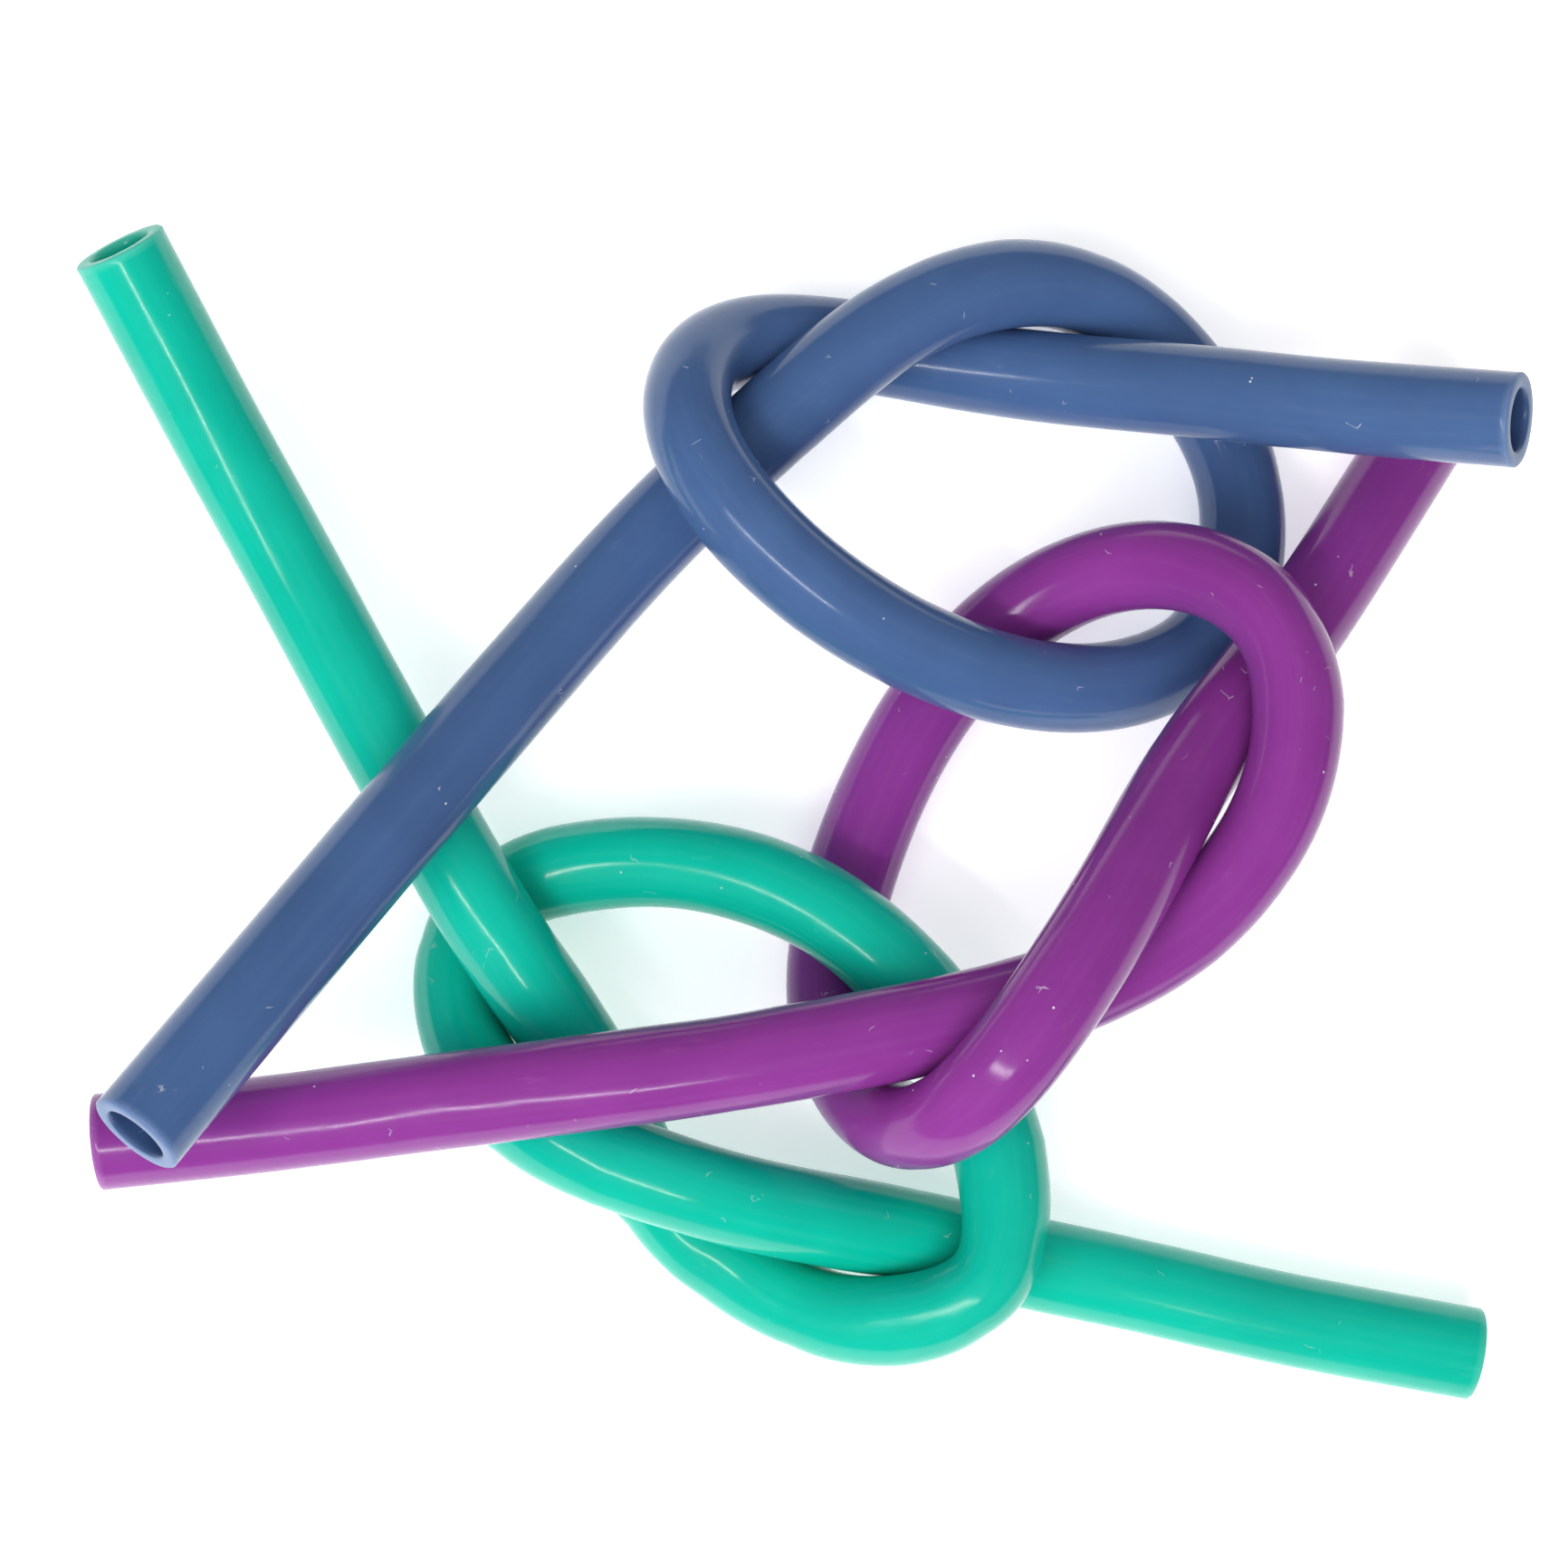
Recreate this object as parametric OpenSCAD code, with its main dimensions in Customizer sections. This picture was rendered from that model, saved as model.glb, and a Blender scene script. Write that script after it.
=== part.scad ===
// Three knotted, linked lengths of silicone tube.
// Each tube is tied in one overhand knot, and the middle knot holds the other two.
// The puzzle lies on Z = 0, with its origin under the middle of its outline.

/* [Tube] */
// Outside diameter of the tube
tube_od = 9; // [8:0.1:9]
// Diameter of the bore that runs the whole length of the tube
tube_id = 6; // [4:0.1:7]
// Straight, square-cut length at each end of a tube, where the bore is round
end_len = 8; // [6:0.5:9]

/* [Sweep] */
// Flat sides of the swept length between a tube's two ends
sides = 12; // [8:1:12]
// Rings in each span of a route
rings_per_span = 2; // [2:1:4]

/* [Hidden] */

// The swept length runs this far into each round end, and stays this far inside its wall.
end_lap = 0.5;
wall_inset = 0.05;
swept_od = tube_od - 2 * wall_inset;
swept_id = (tube_id + 2 * wall_inset) / cos(180 / sides);

// Facets of the round ends
round_fn = 96;

// The routes: guide points of each tube's centreline from one cut end to the other.
// The first three points and the last three are evenly spaced on a straight line.

// Middle knot, from its left end to its right end
purple_route = [
    [-65.5, -32, 17], [-56, -31, 18], [-46.5, -30, 19], [-36.5, -28.5, 20],
    [-27, -27.5, 22], [-17, -26, 23], [-7.5, -25, 23.5], [2, -23, 24],
    [11.5, -21.5, 24], [21, -19, 22.5], [29, -16.5, 22], [36, -12, 22],
    [42, -6, 24], [45.5, 1.5, 25.5], [46.5, 9, 26], [45.5, 16.5, 24.5],
    [40.5, 22, 21], [34, 24, 16], [27, 23, 11.5], [20, 18.5, 8],
    [14.5, 12.5, 5.5], [9.5, 4, 5], [6, -5, 4.5], [3.5, -14, 4.5],
    [3.5, -22, 8.5], [6, -29, 15], [10, -32, 23], [14.5, -29, 29.5],
    [19.5, -22.5, 32.5], [25, -14.5, 31.5], [31, -5.5, 27.5], [36.5, 4, 21],
    [44.5, 12, 15.5], [51.5, 21.5, 11.5], [58, 31, 8], [64.5, 40.5, 4.5],
];

// Upper knot, from its lower left end to its right end
blue_route = [
    [-61, -31.5, 36], [-55, -24, 33], [-49, -16.5, 30], [-43, -9, 27],
    [-37, -1.5, 24], [-30.5, 6.5, 20.5], [-24, 14.5, 16], [-17, 23, 12.5],
    [-10, 30.5, 11], [-2.5, 37, 12.5], [4.5, 43.5, 14], [12, 49, 14],
    [21, 52, 11], [28.5, 52.5, 7.5], [36, 48, 4.5], [42, 41, 4.5],
    [45.5, 33, 4.5], [45, 25, 5], [42.5, 17.5, 6], [36, 13, 9],
    [27, 11, 12.5], [18, 12, 16.5], [9, 15, 19.5], [1, 19.5, 22],
    [-5.5, 25, 23], [-11, 32.5, 21.5], [-12, 40.5, 17], [-8, 45.5, 10.5],
    [0, 47, 5.5], [10, 46, 4], [20.5, 43.5, 6], [29.5, 42, 10],
    [39.5, 40.5, 14.5], [48.5, 38.5, 19.5], [57.5, 37, 24.5], [66.5, 35.5, 29.5],
];

// Lower knot, from its upper left end to its lower right end
teal_route = [
    [-64.5, 51.5, 20.5], [-59.5, 42.5, 16.5], [-54.5, 33.5, 12.5], [-49, 24, 11],
    [-44, 14.5, 11.5], [-38.5, 4.5, 12.5], [-33, -5, 14], [-28, -14, 14],
    [-21.5, -21.5, 9.5], [-17, -29.5, 5.5], [-14, -38.5, 4.5], [-6, -42.5, 4.5],
    [1, -49, 7.5], [10, -49.5, 12.5], [18, -47, 15], [20.5, -41, 15.5],
    [19, -32.5, 14.5], [17.5, -25, 13.5], [11.5, -17.5, 14], [4.5, -10.5, 15],
    [-4, -6.5, 13], [-13, -4.5, 9.5], [-23, -5.5, 6], [-30.5, -8, 4.5],
    [-33, -14, 4.5], [-32, -23.5, 7.5], [-27, -30.5, 12.5], [-18, -33.5, 15.5],
    [-10.5, -36.5, 15], [0, -39, 12.5], [11, -40.5, 8], [22, -43.5, 5],
    [33.5, -45.5, 4.5], [45, -48.5, 5], [56, -50.5, 5], [67, -52.5, 5],
];

// Direction of a vector
function unit(v) = v / norm(v);

// A route with one mirrored point past each end, which lets the curve start and stop on its end points
function padded(route) =
    let (last = len(route) - 1)
    concat(
        [2 * route[0] - route[1]],
        route,
        [2 * route[last] - route[last - 1]]
    );

// Weights of the four guide points round a place t in a span: a uniform cubic B-spline
function weights(t) = [
    pow(1 - t, 3),
    3 * pow(t, 3) - 6 * pow(t, 2) + 4,
    -3 * pow(t, 3) + 3 * pow(t, 2) + 3 * t + 1,
    pow(t, 3)
] / 6;

// Point of the smooth curve at t in one span of a padded route
function on_span(points, span, t) = weights(t) * [for (k = [0:3]) points[span + k]];

// Centres of the swept length: it starts inside one round end, follows the curve and stops inside the other
function centres(route) =
    let (
        points = padded(route),
        spans = len(route) - 1,
        lap = end_len - end_lap,
        first = route[0] + lap * unit(route[1] - route[0]),
        last = route[spans] + lap * unit(route[spans - 1] - route[spans])
    )
    concat(
        [first],
        [for (span = [1:spans - 2], k = [0:rings_per_span - 1]) on_span(points, span, k / rings_per_span)],
        [on_span(points, spans - 1, 0)],
        [last]
    );

// Direction of travel at each centre
function headings(c) =
    let (last = len(c) - 1)
    [for (i = [0:last]) unit(c[min(i + 1, last)] - c[max(i - 1, 0)])];

// A side vector for each ring, carried along without twisting
function side_vectors(h) = [
    for (
        i = 0, v = unit(cross(h[0], [0, 0, 1]));
        i < len(h);
        i = i + 1, v = i < len(h) ? unit(v - (v * h[i]) * h[i]) : v
    ) v
];

// One ring of a given diameter round each centre, as a flat list of points
function rings(c, h, v, d) = [
    for (i = [0:len(c) - 1], k = [0:sides - 1])
        let (a = 360 * k / sides)
        c[i] + d / 2 * (cos(a) * v[i] + sin(a) * cross(h[i], v[i]))
];

// Two triangles between four points
function quad(a, b, c, d) = [[a, b, c], [a, c, d]];

// The swept hollow wall between the two round ends
module swept_wall(route) {
    c = centres(route);
    h = headings(c);
    v = side_vectors(h);
    n = len(c);
    inner = n * sides;
    far = (n - 1) * sides;
    skin = [
        for (i = [0:n - 2], k = [0:sides - 1])
            let (a = i * sides + k, b = i * sides + (k + 1) % sides)
            each concat(
                quad(a, a + sides, b + sides, b),
                quad(inner + a, inner + b, inner + b + sides, inner + a + sides)
            )
    ];
    rims = [
        for (k = [0:sides - 1])
            let (b = (k + 1) % sides)
            each concat(
                quad(k, b, inner + b, inner + k),
                quad(far + k, far + inner + k, far + inner + b, far + b)
            )
    ];
    polyhedron(points = concat(rings(c, h, v, swept_od), rings(c, h, v, swept_id)), faces = concat(skin, rims));
}

// A straight round end with a true bore, from the cut face at one point towards the next point
module round_end(cut, next) {
    d = unit(next - cut);
    translate(cut)
        rotate([0, acos(d[2]), atan2(d[1], d[0])])
            difference() {
                cylinder(d = tube_od, h = end_len, $fn = round_fn);
                translate([0, 0, -1])
                    cylinder(d = tube_id, h = end_len + 2, $fn = round_fn);
            }
}

// One length of tube along its route
module tube(route) {
    last = len(route) - 1;
    union() {
        round_end(route[0], route[1]);
        swept_wall(route);
        round_end(route[last], route[last - 1]);
    }
}

module purple_tube() {
    color([0.58, 0.25, 0.62])
        tube(purple_route);
}

module blue_tube() {
    color([0.29, 0.41, 0.61])
        tube(blue_route);
}

module teal_tube() {
    color([0.08, 0.72, 0.62])
        tube(teal_route);
}

purple_tube();
blue_tube();
teal_tube();
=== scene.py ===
from math import cos, pi, radians, sin

import bmesh
import bpy
import numpy as np
from mathutils import Matrix, Vector


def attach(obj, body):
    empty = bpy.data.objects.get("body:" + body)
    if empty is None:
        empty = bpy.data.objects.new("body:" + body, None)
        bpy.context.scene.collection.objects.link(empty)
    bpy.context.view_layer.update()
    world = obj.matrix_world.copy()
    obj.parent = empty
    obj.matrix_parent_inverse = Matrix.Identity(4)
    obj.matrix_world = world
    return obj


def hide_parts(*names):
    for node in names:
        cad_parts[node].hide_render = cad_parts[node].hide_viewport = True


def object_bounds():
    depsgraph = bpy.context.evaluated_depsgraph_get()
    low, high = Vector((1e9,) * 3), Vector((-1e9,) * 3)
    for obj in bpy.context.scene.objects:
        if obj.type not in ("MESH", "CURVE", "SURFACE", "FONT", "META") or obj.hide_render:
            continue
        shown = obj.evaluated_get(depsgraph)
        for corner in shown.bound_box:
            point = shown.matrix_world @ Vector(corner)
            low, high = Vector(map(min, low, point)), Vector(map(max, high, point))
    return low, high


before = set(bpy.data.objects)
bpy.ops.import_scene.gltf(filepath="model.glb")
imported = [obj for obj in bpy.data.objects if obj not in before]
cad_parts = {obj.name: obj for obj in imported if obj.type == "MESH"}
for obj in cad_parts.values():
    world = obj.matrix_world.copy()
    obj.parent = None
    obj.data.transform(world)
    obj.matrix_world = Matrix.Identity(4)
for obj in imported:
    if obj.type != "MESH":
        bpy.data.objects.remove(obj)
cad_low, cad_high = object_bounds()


# Camera: it looks down on the puzzle from just in front and to the left, tipped 5 degrees each way,
# through a 100 mm lens on a square 36 mm sensor.
AIM = Vector((-0.001, 0.0025, 0.009))
TIP = radians(5)
CAMERA_DISTANCE = 0.4202

look = Vector((sin(TIP), sin(TIP), -(1 - 2 * sin(TIP) ** 2) ** 0.5))
right = look.cross(Vector((0, 1, 0))).normalized()
up = right.cross(look)
camera_data = bpy.data.cameras.new("camera")
camera_data.lens = 100
camera_data.sensor_width = 36
camera_data.sensor_fit = "HORIZONTAL"
camera_data.clip_start = 0.01
camera = bpy.data.objects.new("camera", camera_data)
facing = Matrix((right, up, -look)).transposed().to_4x4()
camera.matrix_world = Matrix.Translation(AIM - CAMERA_DISTANCE * look) @ facing
bpy.context.scene.collection.objects.link(camera)
bpy.context.scene.camera = camera


# Purple tube: the middle knot of the chain, a soft silicone tube of 9 mm outside and 6 mm bore, square-cut
# and open at both ends. Its wall is one sheet wrapped round the route, out along the outside and back down
# the bore.
TUBE_OUTER = 0.0045  # radii in metres
TUBE_BORE = 0.003
RIM = 0.00018  # width of the softened edge of a cut end
RIM_SUPPORT = 0.0007  # how far along the tube that edge has died away
STATIONS_PER_SPAN = 11
SIDES = 64
OVAL_RATE = 0.28  # flattening of a bend, for each unit of tube radius over bend radius
OVAL_MOST = 0.12
STRAIGHT = 1e-6  # curvature below which a stretch counts as straight
WELD = 2e-6  # distance within which the sheet's edges join


def mm(*points):
    """Guide points given in millimetres, as metres."""
    return np.array(points, float) / 1000


def smooth_route(route):
    """Places, directions, curvatures and distances along the smooth curve that the guide points pull."""
    ends = np.vstack([2 * route[0] - route[1], route, 2 * route[-1] - route[-2]])
    place, heading, bend = [], [], []
    spans = len(route) - 1
    for step in range(spans * STATIONS_PER_SPAN + 1):
        span = min(step // STATIONS_PER_SPAN, spans - 1)
        t = step / STATIONS_PER_SPAN - span
        near = ends[span:span + 4]
        middle = (3 * t ** 3 - 6 * t ** 2 + 4, -3 * t ** 3 + 3 * t ** 2 + 3 * t + 1)
        pull = np.array([(1 - t) ** 3, *middle, t ** 3]) / 6
        first = np.array([-(1 - t) ** 2, 3 * t ** 2 - 4 * t, -3 * t ** 2 + 2 * t + 1, t ** 2]) / 2
        second = np.array([1 - t, 3 * t - 2, 1 - 3 * t, t])
        v, a = first @ near, second @ near
        place.append(pull @ near)
        heading.append(v / np.linalg.norm(v))
        bend.append((a - heading[-1] * (a @ heading[-1])) / (v @ v))
    place = np.array(place)
    along = np.concatenate([[0], np.cumsum(np.linalg.norm(np.diff(place, axis=0), axis=1))])
    return place, np.array(heading), np.array(bend), along


def sections(place, heading, bend):
    """A frame for each place, carried along without twisting. A bend flattens the tube's outer side a little,
    and its inner side stays where it is."""
    side = Vector(heading[0]).orthogonal().normalized()
    frames = []
    for p, h, k in zip(place, heading, bend):
        ahead = Vector(h)
        side = (side - ahead * side.dot(ahead)).normalized()
        turn = Matrix((side, ahead.cross(side), ahead)).transposed()
        squeeze = Matrix.Identity(3)
        centre = Vector(p)
        curvature = float(np.linalg.norm(k))
        if curvature > STRAIGHT:
            inwards = Vector(k / curvature)
            oval = min(OVAL_RATE * curvature * TUBE_OUTER, OVAL_MOST)
            squeeze = Matrix.Scale(1 - oval, 3, turn.inverted() @ inwards)
            centre += inwards * oval * TUBE_OUTER
        frames.append(Matrix.Translation(centre) @ (turn @ squeeze).to_4x4())
    return frames


def tube(name, route, body, material):
    """One hollow tube along its route, riding its body in place of that body's plain solid."""
    place, heading, bend, along = smooth_route(route)
    frames = sections(place, heading, bend)
    length = float(along[-1])

    def at_end(last, inset):
        here = frames[-1] if last else frames[0]
        shift = -inset if last else inset
        return here @ Matrix.Translation((0, 0, shift))

    wall = [(frames[i], TUBE_OUTER, along[i]) for i in range(1, len(frames) - 1)]
    start = [
        (at_end(False, RIM), TUBE_OUTER, RIM),
        (at_end(False, RIM_SUPPORT), TUBE_OUTER, RIM_SUPPORT),
    ]
    stop = [
        (at_end(True, RIM_SUPPORT), TUBE_OUTER, length - RIM_SUPPORT),
        (at_end(True, RIM), TUBE_OUTER, length - RIM),
    ]
    far_face = [(frames[-1], TUBE_OUTER - RIM, length), (frames[-1], TUBE_BORE + RIM, length)]
    near_face = [(frames[0], TUBE_BORE + RIM, 0.0), (frames[0], TUBE_OUTER - RIM, 0.0)]
    outside = start + wall + stop
    inside = [(f, TUBE_BORE, s) for f, _, s in reversed(outside)]
    stations = outside + far_face + inside + near_face + start[:1]

    bm = bmesh.new()
    end_distance = bm.verts.layers.float.new("end_distance")
    skin = bm.verts.layers.float_vector.new("skin")
    rows = len(stations) - 1
    bmesh.ops.create_grid(bm, x_segments=SIDES, y_segments=rows, size=0.5)
    for v in bm.verts:
        angle = 2 * pi * (v.co.x + 0.5)
        section, radius, distance = stations[round((v.co.y + 0.5) * rows)]
        ring = Vector((cos(angle), sin(angle), 0)) * radius
        v[end_distance] = min(distance, length - distance)
        v[skin] = ring + Vector((0, 0, distance))
        v.co = section @ ring
    bmesh.ops.remove_doubles(bm, verts=bm.verts, dist=WELD)
    bmesh.ops.recalc_face_normals(bm, faces=bm.faces)
    for face in bm.faces:
        face.smooth = True

    mesh = bpy.data.meshes.new(name)
    bm.to_mesh(mesh)
    bm.free()
    mesh.materials.append(material)

    obj = bpy.data.objects.new(name, mesh)
    bpy.context.scene.collection.objects.link(obj)
    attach(obj, body)
    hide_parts(f"{body}_tube")


def silicone_skin():
    """Soft silicone tube's surface: faint lines along it, cloudy depth, pale cut ends, scuffs and dust."""
    group = bpy.data.node_groups.new("silicone_skin", "ShaderNodeTree")
    sockets = group.interface
    for socket in ("Body colour", "Deep colour", "Pale colour"):
        sockets.new_socket(socket, in_out="INPUT", socket_type="NodeSocketColor")
    for socket in ("Dust", "Painted bore shade", "Base roughness"):
        sockets.new_socket(socket, in_out="INPUT", socket_type="NodeSocketFloat")
    sockets.new_socket("Colour", in_out="OUTPUT", socket_type="NodeSocketColor")
    sockets.new_socket("Roughness", in_out="OUTPUT", socket_type="NodeSocketFloat")
    sockets.new_socket("Height", in_out="OUTPUT", socket_type="NodeSocketFloat")
    nodes, links = group.nodes, group.links
    given = nodes.new("NodeGroupInput")
    result = nodes.new("NodeGroupOutput")
    place = nodes.new("ShaderNodeTexCoord")
    skin = nodes.new("ShaderNodeAttribute")
    skin.attribute_name = "skin"
    near_end = nodes.new("ShaderNodeAttribute")
    near_end.attribute_name = "end_distance"

    def stretched(source, scale):
        node = nodes.new("ShaderNodeMapping")
        node.inputs["Scale"].default_value = scale
        links.new(source, node.inputs["Vector"])
        return node.outputs["Vector"]

    def noise(vector, scale, detail, roughness=0.5):
        node = nodes.new("ShaderNodeTexNoise")
        node.inputs["Scale"].default_value = scale
        node.inputs["Detail"].default_value = detail
        node.inputs["Roughness"].default_value = roughness
        links.new(vector, node.inputs["Vector"])
        return node.outputs["Fac"]

    def span(value, low, high, to_low, to_high):
        node = nodes.new("ShaderNodeMapRange")
        node.inputs["From Min"].default_value = low
        node.inputs["From Max"].default_value = high
        node.inputs["To Min"].default_value = to_low
        node.inputs["To Max"].default_value = to_high
        links.new(value, node.inputs["Value"])
        return node.outputs["Result"]

    def maths(kind, a, b):
        node = nodes.new("ShaderNodeMath")
        node.operation = kind
        for socket, value in zip(node.inputs, (a, b)):
            if isinstance(value, (int, float)):
                socket.default_value = value
            else:
                links.new(value, socket)
        return node.outputs["Value"]

    def blend(amount, a, b):
        node = nodes.new("ShaderNodeMix")
        node.data_type = "RGBA"
        for socket, value in ((node.inputs[0], amount), (node.inputs[6], a), (node.inputs[7], b)):
            if isinstance(value, tuple):
                socket.default_value = value
            else:
                links.new(value, socket)
        return node.outputs[2]

    objects = place.outputs["Object"]
    to_end = near_end.outputs["Fac"]
    # Scales count cells to the metre. A pattern on the skin is drawn out along the tube by its third scale.
    lines = noise(stretched(skin.outputs["Vector"], (1, 1, 0.03)), 1400, 3)
    bands = noise(stretched(skin.outputs["Vector"], (1, 1, 0.06)), 330, 2)
    clouds = noise(objects, 95, 3)
    fine = noise(objects, 2600, 2)
    scuffs = noise(stretched(skin.outputs["Vector"], (1, 1, 0.25)), 620, 5, 0.7)

    # Dust: a pinpoint in one cell of every five.
    specks = nodes.new("ShaderNodeTexVoronoi")
    specks.inputs["Scale"].default_value = 420
    links.new(objects, specks.inputs["Vector"])
    apart = nodes.new("ShaderNodeSeparateColor")
    links.new(specks.outputs["Color"], apart.inputs["Color"])
    chosen = span(apart.outputs["Red"], 0.8, 0.805, 0, 1)
    small = span(specks.outputs["Distance"], 0.03, 0.06, 1, 0)
    speck = maths("MULTIPLY", chosen, small)

    # Lint: scraps of the edges of larger cells, bent out of true so that they curl.
    curled = nodes.new("ShaderNodeTexNoise")
    curled.inputs["Scale"].default_value = 420
    links.new(objects, curled.inputs["Vector"])
    bent = nodes.new("ShaderNodeVectorMath")
    bent.operation = "MULTIPLY_ADD"
    bent.inputs[1].default_value = (0.0022, 0.0022, 0.0022)
    links.new(curled.outputs["Color"], bent.inputs[0])
    links.new(objects, bent.inputs[2])
    hairs = nodes.new("ShaderNodeTexVoronoi")
    hairs.feature = "DISTANCE_TO_EDGE"
    hairs.inputs["Scale"].default_value = 300
    links.new(bent.outputs["Vector"], hairs.inputs["Vector"])
    in_patches = span(noise(stretched(objects, (1, 1.6, 1)), 330, 1), 0.71, 0.75, 0, 1)
    hair = maths("MULTIPLY", span(hairs.outputs["Distance"], 0.006, 0.018, 0.42, 0), in_patches)
    dust = maths("MULTIPLY", maths("MAXIMUM", speck, hair), given.outputs["Dust"])
    settled = maths("MULTIPLY", dust, span(to_end, 0.001, 0.002, 0, 1))

    body, deep, pale = (given.outputs[f"{kind} colour"] for kind in ("Body", "Deep", "Pale"))
    cloudy = blend(span(clouds, 0.35, 0.68, 0, 0.26), body, deep)
    banded = blend(span(bands, 0.42, 0.66, 0, 0.1), cloudy, deep)
    lined = blend(span(lines, 0.45, 0.7, 0, 0.03), banded, pale)
    rubbed = blend(span(scuffs, 0.62, 0.76, 0, 0.1), lined, pale)
    rim = blend(span(to_end, 0.0002, 0.0009, 0.3, 0), rubbed, pale)
    # Painted shade: the inside of the bore is darkened towards the deep colour, as far as the painted bore
    # shade input says.
    from_axis = nodes.new("ShaderNodeVectorMath")
    from_axis.operation = "LENGTH"
    links.new(stretched(skin.outputs["Vector"], (1, 1, 0)), from_axis.inputs[0])
    in_bore = span(from_axis.outputs["Value"], TUBE_BORE + 0.0001, TUBE_BORE + 0.0002, 1, 0)
    bore_shaded = blend(maths("MULTIPLY", in_bore, given.outputs["Painted bore shade"]), rim, deep)
    links.new(blend(settled, bore_shaded, (0.86, 0.87, 0.9, 1)), result.inputs["Colour"])

    rough = maths("ADD", given.outputs["Base roughness"], span(scuffs, 0.5, 0.75, 0.0, 0.12))
    rough = maths("ADD", rough, span(fine, 0.3, 0.7, -0.03, 0.03))
    rough = maths("ADD", rough, span(to_end, 0.0, 0.0006, 0.25, 0.0))
    links.new(maths("ADD", rough, maths("MULTIPLY", settled, 0.4)), result.inputs["Roughness"])
    height = maths("ADD", maths("MULTIPLY", lines, 0.35), maths("MULTIPLY", fine, 0.3))
    links.new(maths("ADD", height, maths("MULTIPLY", settled, 1.2)), result.inputs["Height"])
    return group


skin_group = silicone_skin()


def silicone(name, body_colour, deep_colour, pale_colour, dust, painted_bore_shade, glow):
    """Soft, slightly see-through silicone. Its glow is how far red, green and blue light spread inside it."""
    material = bpy.data.materials.new(name)
    material.use_nodes = True
    nodes, links = material.node_tree.nodes, material.node_tree.links
    shader = nodes["Principled BSDF"]
    shader.inputs["IOR"].default_value = 1.42
    shader.inputs["Subsurface Weight"].default_value = 0.3
    shader.inputs["Subsurface Radius"].default_value = glow
    shader.inputs["Subsurface Scale"].default_value = 0.0012
    skin = nodes.new("ShaderNodeGroup")
    skin.node_tree = skin_group
    skin.inputs["Body colour"].default_value = (*body_colour, 1)
    skin.inputs["Deep colour"].default_value = (*deep_colour, 1)
    skin.inputs["Pale colour"].default_value = (*pale_colour, 1)
    skin.inputs["Dust"].default_value = dust
    # Painted shade inside the bore: how far the bore's inner wall is darkened towards the deep colour.
    skin.inputs["Painted bore shade"].default_value = painted_bore_shade
    skin.inputs["Base roughness"].default_value = 0.15
    bump = nodes.new("ShaderNodeBump")
    bump.inputs["Strength"].default_value = 0.12
    bump.inputs["Distance"].default_value = 0.00004
    links.new(skin.outputs["Colour"], shader.inputs["Base Color"])
    links.new(skin.outputs["Roughness"], shader.inputs["Roughness"])
    links.new(skin.outputs["Height"], bump.inputs["Height"])
    links.new(bump.outputs["Normal"], shader.inputs["Normal"])
    return material


purple_route = mm(
    (-65.5, -32, 17), (-56, -31, 18), (-46.5, -30, 19), (-36.5, -28.5, 20),
    (-27, -27.5, 22), (-17, -26, 23), (-7.5, -25, 23.5), (2, -23, 24),
    (11.5, -21.5, 24), (21, -19, 22.5), (29, -16.5, 22), (36, -12, 22),
    (42, -6, 24), (45.5, 1.5, 25.5), (46.5, 9, 26), (45.5, 16.5, 24.5),
    (40.5, 22, 21), (34, 24, 16), (27, 23, 11.5), (20, 18.5, 8),
    (14.5, 12.5, 5.5), (9.5, 4, 5), (6, -5, 4.5), (3.5, -14, 4.5),
    (3.5, -22, 8.5), (6, -29, 15), (10, -32, 23), (14.5, -29, 29.5),
    (19.5, -22.5, 32.5), (25, -14.5, 31.5), (31, -5.5, 27.5), (36.5, 4, 21),
    (44.5, 12, 15.5), (51.5, 21.5, 11.5), (58, 31, 8), (64.5, 40.5, 4.5),
)
purple_silicone = silicone(
    "purple_silicone",
    body_colour=(0.27, 0.042, 0.3), deep_colour=(0.16, 0.018, 0.19),
    pale_colour=(0.5, 0.25, 0.54), dust=0.85, painted_bore_shade=0.8, glow=(0.8, 0.3, 0.9),
)
tube("purple_silicone_tube", purple_route, "purple", purple_silicone)


# Blue tube: the upper knot, the same stock tube in a dusty blue. Its loop passes through the purple loop,
# and its right end is lifted over the purple end.
blue_route = mm(
    (-61, -31.5, 36), (-55, -24, 33), (-49, -16.5, 30), (-43, -9, 27),
    (-37, -1.5, 24), (-30.5, 6.5, 20.5), (-24, 14.5, 16), (-17, 23, 12.5),
    (-10, 30.5, 11), (-2.5, 37, 12.5), (4.5, 43.5, 14), (12, 49, 14),
    (21, 52, 11), (28.5, 52.5, 7.5), (36, 48, 4.5), (42, 41, 4.5),
    (45.5, 33, 4.5), (45, 25, 5), (42.5, 17.5, 6), (36, 13, 9),
    (27, 11, 12.5), (18, 12, 16.5), (9, 15, 19.5), (1, 19.5, 22),
    (-5.5, 25, 23), (-11, 32.5, 21.5), (-12, 40.5, 17), (-8, 45.5, 10.5),
    (0, 47, 5.5), (10, 46, 4), (20.5, 43.5, 6), (29.5, 42, 10),
    (39.5, 40.5, 14.5), (48.5, 38.5, 19.5), (57.5, 37, 24.5), (66.5, 35.5, 29.5),
)
blue_silicone = silicone(
    "blue_silicone",
    body_colour=(0.07, 0.14, 0.315), deep_colour=(0.035, 0.07, 0.18),
    pale_colour=(0.26, 0.36, 0.54), dust=0.85, painted_bore_shade=0.8, glow=(0.4, 0.5, 0.9),
)
tube("blue_silicone_tube", blue_route, "blue", blue_silicone)


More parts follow.
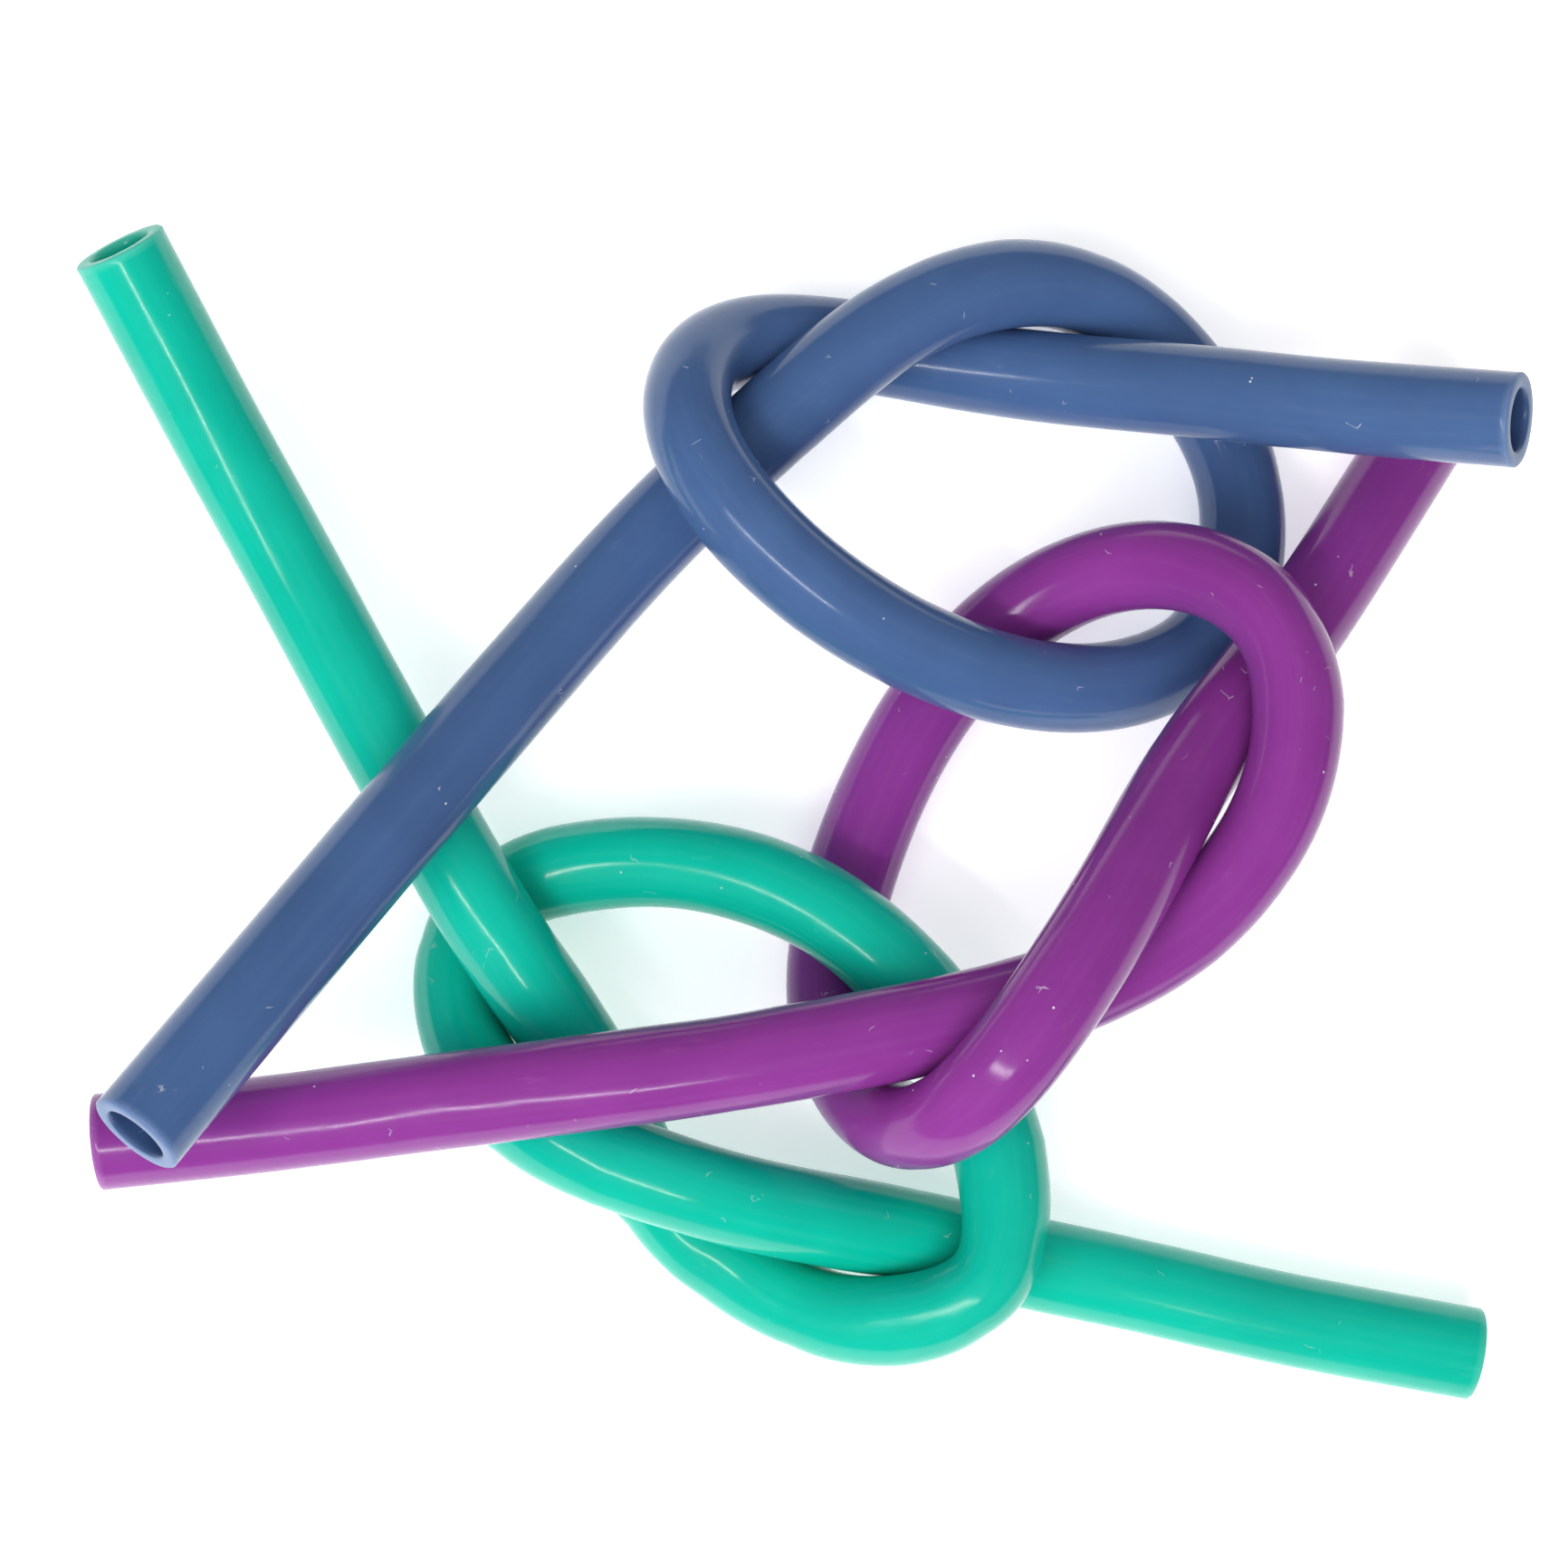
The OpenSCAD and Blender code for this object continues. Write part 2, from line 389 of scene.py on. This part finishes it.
# Teal tube: the lower knot, the same stock tube in bright teal. It lies lowest, under the tail of the blue
# tube, with the purple loop hooked through it.
teal_route = mm(
    (-64.5, 51.5, 20.5), (-59.5, 42.5, 16.5), (-54.5, 33.5, 12.5), (-49, 24, 11),
    (-44, 14.5, 11.5), (-38.5, 4.5, 12.5), (-33, -5, 14), (-28, -14, 14),
    (-21.5, -21.5, 9.5), (-17, -29.5, 5.5), (-14, -38.5, 4.5), (-6, -42.5, 4.5),
    (1, -49, 7.5), (10, -49.5, 12.5), (18, -47, 15), (20.5, -41, 15.5),
    (19, -32.5, 14.5), (17.5, -25, 13.5), (11.5, -17.5, 14), (4.5, -10.5, 15),
    (-4, -6.5, 13), (-13, -4.5, 9.5), (-23, -5.5, 6), (-30.5, -8, 4.5),
    (-33, -14, 4.5), (-32, -23.5, 7.5), (-27, -30.5, 12.5), (-18, -33.5, 15.5),
    (-10.5, -36.5, 15), (0, -39, 12.5), (11, -40.5, 8), (22, -43.5, 5),
    (33.5, -45.5, 4.5), (45, -48.5, 5), (56, -50.5, 5), (67, -52.5, 5),
)
teal_silicone = silicone(
    "teal_silicone",
    body_colour=(0.002, 0.5, 0.36), deep_colour=(0.001, 0.3, 0.22),
    pale_colour=(0.2, 0.72, 0.6), dust=0.45, painted_bore_shade=0.1, glow=(0.2, 0.9, 0.7),
)
tube("teal_silicone_tube", teal_route, "teal", teal_silicone)


# Floor: a plain, near-white sheet under the puzzle, not part of it. It glows a little, so that shadows on it
# stay faint.
FLOOR_HALF = 6
FLOOR_GAP = 0.0001

bm = bmesh.new()
bmesh.ops.create_grid(bm, x_segments=1, y_segments=1, size=FLOOR_HALF)
floor_mesh = bpy.data.meshes.new("floor")
bm.to_mesh(floor_mesh)
bm.free()
floor_white = bpy.data.materials.new("floor_white")
floor_white.use_nodes = True
floor_shader = floor_white.node_tree.nodes["Principled BSDF"]
floor_shader.inputs["Base Color"].default_value = (0.95, 0.95, 0.95, 1)
floor_shader.inputs["Roughness"].default_value = 0.9
floor_shader.inputs["Emission Color"].default_value = (1, 1, 1, 1)
floor_shader.inputs["Emission Strength"].default_value = 0.5
floor_mesh.materials.append(floor_white)
floor = bpy.data.objects.new("floor", floor_mesh)
floor.location.z = cad_low.z - FLOOR_GAP
bpy.context.scene.collection.objects.link(floor)


# Light: an even white room, two broad soft lights that leave no reflection of themselves, and one long narrow
# light that draws the thin gloss lines.
LIGHT_DISTANCE = 0.9
ROOM_STRENGTH = 0.12


def soft_light(name, direction, size, watts, glossy):
    """A rectangular light of a size in metres, facing the puzzle from a direction."""
    data = bpy.data.lights.new(name, "AREA")
    data.shape = "RECTANGLE"
    data.size, data.size_y = size
    data.energy = watts
    light = bpy.data.objects.new(name, data)
    light.location = AIM + Vector(direction).normalized() * LIGHT_DISTANCE
    light.rotation_euler = Vector(direction).to_track_quat("Z", "Y").to_euler()
    light.visible_glossy = glossy
    bpy.context.scene.collection.objects.link(light)


soft_light("key", (-0.35, -0.6, 0.8), (0.9, 0.9), watts=8, glossy=False)
soft_light("top", (0.2, 0.3, 1), (0.9, 0.9), watts=3, glossy=False)
soft_light("strip", (-0.3, -0.4, 0.85), (0.75, 0.04), watts=2.2, glossy=True)
world = bpy.data.worlds.new("room")
world.use_nodes = True
world.node_tree.nodes["Background"].inputs["Color"].default_value = (1, 1, 1, 1)
world.node_tree.nodes["Background"].inputs["Strength"].default_value = ROOM_STRENGTH
bpy.context.scene.world = world
bpy.context.scene.view_settings.view_transform = "Standard"
